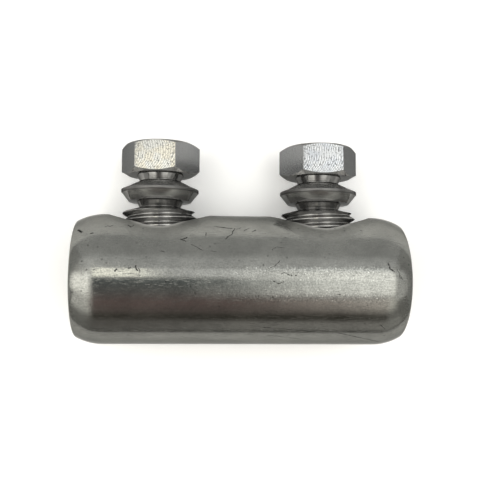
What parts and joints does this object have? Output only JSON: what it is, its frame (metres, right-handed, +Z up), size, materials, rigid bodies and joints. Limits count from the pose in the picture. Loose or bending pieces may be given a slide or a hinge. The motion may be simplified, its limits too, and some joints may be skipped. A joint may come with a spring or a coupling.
{
  "type": "shear-bolt cable connector",
  "caption": "Round metal sleeve with a blind bore in each end for a cable conductor, and shear-head bolts with hexagon heads that clamp the conductors.",
  "frame": {"origin": "centre of the footprint on the table, with the connector lying as it comes to rest", "axes": "+X along the sleeve from the left to the right cable bore, +Y level towards the bolt heads, +Z up"},
  "size_m": [0.06, 0.038, 0.024],
  "materials": {
    "tinned_sleeve": "satin tin plate with light handling scratches",
    "bolt_metal": "bright turned metal with milled head flats"
  },
  "bodies": {
    "sleeve": {"connector_body": "tinned_sleeve"},
    "left_bolt": {"shear_bolt_left": "bolt_metal"},
    "right_bolt": {"shear_bolt_right": "bolt_metal"}
  },
  "joints": [
    {"name": "left_bolt_travel", "type": "slide", "parent": "sleeve", "child": "left_bolt", "axis": [0, 0.9759, -0.2181], "range_m": [-0.0045, 0.0015]},
    {"name": "right_bolt_travel", "type": "slide", "parent": "sleeve", "child": "right_bolt", "axis": [0, 0.9759, -0.2181], "range_m": [-0.0045, 0.0015]}
  ]
}
